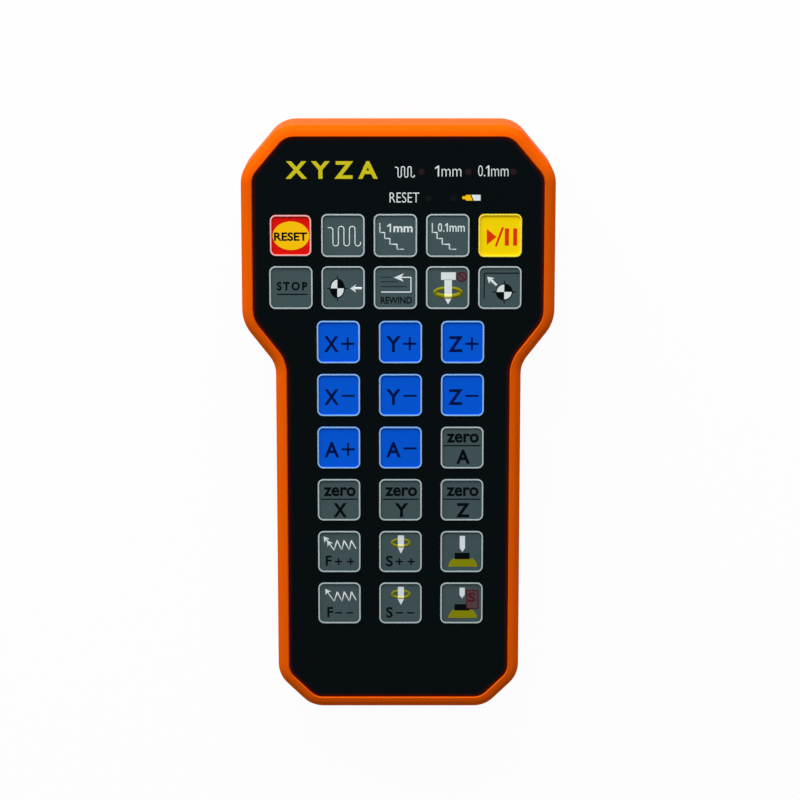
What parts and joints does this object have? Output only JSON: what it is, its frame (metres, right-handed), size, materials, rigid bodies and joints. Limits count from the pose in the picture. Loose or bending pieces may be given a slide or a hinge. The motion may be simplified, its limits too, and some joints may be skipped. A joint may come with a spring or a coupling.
{
  "type": "wireless machine control keypad",
  "caption": "Hand-held remote keypad for a machine tool, with a waisted case, spring-back keys, status lamps and a sliding battery door.",
  "frame": {"origin": "middle of the back face, on which the keypad lies", "axes": "+Y towards the wide head, +Z out of the key face, +X to the right as a user reads the keys"},
  "size_m": [0.0926, 0.177, 0.027],
  "materials": {
    "case_orange": "satin moulded",
    "face_black": "satin print",
    "key_grey": "satin",
    "key_blue": "satin",
    "key_red": "satin",
    "key_yellow": "satin",
    "lamp_tint": "tinted",
    "lamp_lens": "gloss",
    "board_green": "lacquered",
    "switch_black": "matt",
    "chip_black": "matt",
    "capacitor_sleeve": "gloss",
    "cell_wrap": "gloss",
    "plated_steel": "plated",
    "screw_steel": "zinc"
  },
  "bodies": {
    "case": {"front_shell": "case_orange", "rear_shell": "case_orange", "face_sheet": "face_black", "lamp_windows": "lamp_tint", "circuit_board": "board_green", "tact_switches": "switch_black", "status_lamps": "lamp_lens", "controller_chip": "chip_black", "radio_board": "board_green", "radio_shield": "plated_steel", "antenna_board": "board_green", "crystal": "plated_steel", "capacitors": "capacitor_sleeve", "chip_resistors": "chip_black", "battery_cell_left": "cell_wrap", "battery_cell_right": "cell_wrap", "bridge_contact": "plated_steel", "positive_terminal": "plated_steel", "negative_terminal": "plated_steel", "case_screws": "screw_steel", "board_screws": "screw_steel"},
    "door": {"battery_door": "case_orange"},
    "key_reset": {"key_reset": "key_red"},
    "key_continuous_jog": {"key_continuous_jog": "key_grey"},
    "key_step_coarse": {"key_step_coarse": "key_grey"},
    "key_step_fine": {"key_step_fine": "key_grey"},
    "key_start_pause": {"key_start_pause": "key_yellow"},
    "key_stop": {"key_stop": "key_grey"},
    "key_go_to_origin": {"key_go_to_origin": "key_grey"},
    "key_rewind": {"key_rewind": "key_grey"},
    "key_spindle_stop": {"key_spindle_stop": "key_grey"},
    "key_corner_origin": {"key_corner_origin": "key_grey"},
    "key_x_plus": {"key_x_plus": "key_blue"},
    "key_y_plus": {"key_y_plus": "key_blue"},
    "key_z_plus": {"key_z_plus": "key_blue"},
    "key_x_minus": {"key_x_minus": "key_blue"},
    "key_y_minus": {"key_y_minus": "key_blue"},
    "key_z_minus": {"key_z_minus": "key_blue"},
    "key_a_plus": {"key_a_plus": "key_blue"},
    "key_a_minus": {"key_a_minus": "key_blue"},
    "key_zero_a": {"key_zero_a": "key_grey"},
    "key_zero_x": {"key_zero_x": "key_grey"},
    "key_zero_y": {"key_zero_y": "key_grey"},
    "key_zero_z": {"key_zero_z": "key_grey"},
    "key_feed_up": {"key_feed_up": "key_grey"},
    "key_spindle_up": {"key_spindle_up": "key_grey"},
    "key_tool_set": {"key_tool_set": "key_grey"},
    "key_feed_down": {"key_feed_down": "key_grey"},
    "key_spindle_down": {"key_spindle_down": "key_grey"},
    "key_tool_set_second": {"key_tool_set_second": "key_grey"}
  },
  "joints": [
    {"name": "press_reset", "type": "slide", "parent": "case", "child": "key_reset", "axis": [0, 0, -1], "range_m": [0, 0.0005], "stiffness_N_per_m": 4000},
    {"name": "press_continuous_jog", "type": "slide", "parent": "case", "child": "key_continuous_jog", "axis": [0, 0, -1], "range_m": [0, 0.0005], "stiffness_N_per_m": 4000},
    {"name": "press_step_coarse", "type": "slide", "parent": "case", "child": "key_step_coarse", "axis": [0, 0, -1], "range_m": [0, 0.0005], "stiffness_N_per_m": 4000},
    {"name": "press_step_fine", "type": "slide", "parent": "case", "child": "key_step_fine", "axis": [0, 0, -1], "range_m": [0, 0.0005], "stiffness_N_per_m": 4000},
    {"name": "press_start_pause", "type": "slide", "parent": "case", "child": "key_start_pause", "axis": [0, 0, -1], "range_m": [0, 0.0005], "stiffness_N_per_m": 4000},
    {"name": "press_stop", "type": "slide", "parent": "case", "child": "key_stop", "axis": [0, 0, -1], "range_m": [0, 0.0005], "stiffness_N_per_m": 4000},
    {"name": "press_go_to_origin", "type": "slide", "parent": "case", "child": "key_go_to_origin", "axis": [0, 0, -1], "range_m": [0, 0.0005], "stiffness_N_per_m": 4000},
    {"name": "press_rewind", "type": "slide", "parent": "case", "child": "key_rewind", "axis": [0, 0, -1], "range_m": [0, 0.0005], "stiffness_N_per_m": 4000},
    {"name": "press_spindle_stop", "type": "slide", "parent": "case", "child": "key_spindle_stop", "axis": [0, 0, -1], "range_m": [0, 0.0005], "stiffness_N_per_m": 4000},
    {"name": "press_corner_origin", "type": "slide", "parent": "case", "child": "key_corner_origin", "axis": [0, 0, -1], "range_m": [0, 0.0005], "stiffness_N_per_m": 4000},
    {"name": "press_x_plus", "type": "slide", "parent": "case", "child": "key_x_plus", "axis": [0, 0, -1], "range_m": [0, 0.0005], "stiffness_N_per_m": 4000},
    {"name": "press_y_plus", "type": "slide", "parent": "case", "child": "key_y_plus", "axis": [0, 0, -1], "range_m": [0, 0.0005], "stiffness_N_per_m": 4000},
    {"name": "press_z_plus", "type": "slide", "parent": "case", "child": "key_z_plus", "axis": [0, 0, -1], "range_m": [0, 0.0005], "stiffness_N_per_m": 4000},
    {"name": "press_x_minus", "type": "slide", "parent": "case", "child": "key_x_minus", "axis": [0, 0, -1], "range_m": [0, 0.0005], "stiffness_N_per_m": 4000},
    {"name": "press_y_minus", "type": "slide", "parent": "case", "child": "key_y_minus", "axis": [0, 0, -1], "range_m": [0, 0.0005], "stiffness_N_per_m": 4000},
    {"name": "press_z_minus", "type": "slide", "parent": "case", "child": "key_z_minus", "axis": [0, 0, -1], "range_m": [0, 0.0005], "stiffness_N_per_m": 4000},
    {"name": "press_a_plus", "type": "slide", "parent": "case", "child": "key_a_plus", "axis": [0, 0, -1], "range_m": [0, 0.0005], "stiffness_N_per_m": 4000},
    {"name": "press_a_minus", "type": "slide", "parent": "case", "child": "key_a_minus", "axis": [0, 0, -1], "range_m": [0, 0.0005], "stiffness_N_per_m": 4000},
    {"name": "press_zero_a", "type": "slide", "parent": "case", "child": "key_zero_a", "axis": [0, 0, -1], "range_m": [0, 0.0005], "stiffness_N_per_m": 4000},
    {"name": "press_zero_x", "type": "slide", "parent": "case", "child": "key_zero_x", "axis": [0, 0, -1], "range_m": [0, 0.0005], "stiffness_N_per_m": 4000},
    {"name": "press_zero_y", "type": "slide", "parent": "case", "child": "key_zero_y", "axis": [0, 0, -1], "range_m": [0, 0.0005], "stiffness_N_per_m": 4000},
    {"name": "press_zero_z", "type": "slide", "parent": "case", "child": "key_zero_z", "axis": [0, 0, -1], "range_m": [0, 0.0005], "stiffness_N_per_m": 4000},
    {"name": "press_feed_up", "type": "slide", "parent": "case", "child": "key_feed_up", "axis": [0, 0, -1], "range_m": [0, 0.0005], "stiffness_N_per_m": 4000},
    {"name": "press_spindle_up", "type": "slide", "parent": "case", "child": "key_spindle_up", "axis": [0, 0, -1], "range_m": [0, 0.0005], "stiffness_N_per_m": 4000},
    {"name": "press_tool_set", "type": "slide", "parent": "case", "child": "key_tool_set", "axis": [0, 0, -1], "range_m": [0, 0.0005], "stiffness_N_per_m": 4000},
    {"name": "press_feed_down", "type": "slide", "parent": "case", "child": "key_feed_down", "axis": [0, 0, -1], "range_m": [0, 0.0005], "stiffness_N_per_m": 4000},
    {"name": "press_spindle_down", "type": "slide", "parent": "case", "child": "key_spindle_down", "axis": [0, 0, -1], "range_m": [0, 0.0005], "stiffness_N_per_m": 4000},
    {"name": "press_tool_set_second", "type": "slide", "parent": "case", "child": "key_tool_set_second", "axis": [0, 0, -1], "range_m": [0, 0.0005], "stiffness_N_per_m": 4000},
    {"name": "door_slide", "type": "slide", "parent": "case", "child": "door", "axis": [0, -1, 0], "range_m": [0, 0.07]}
  ]
}
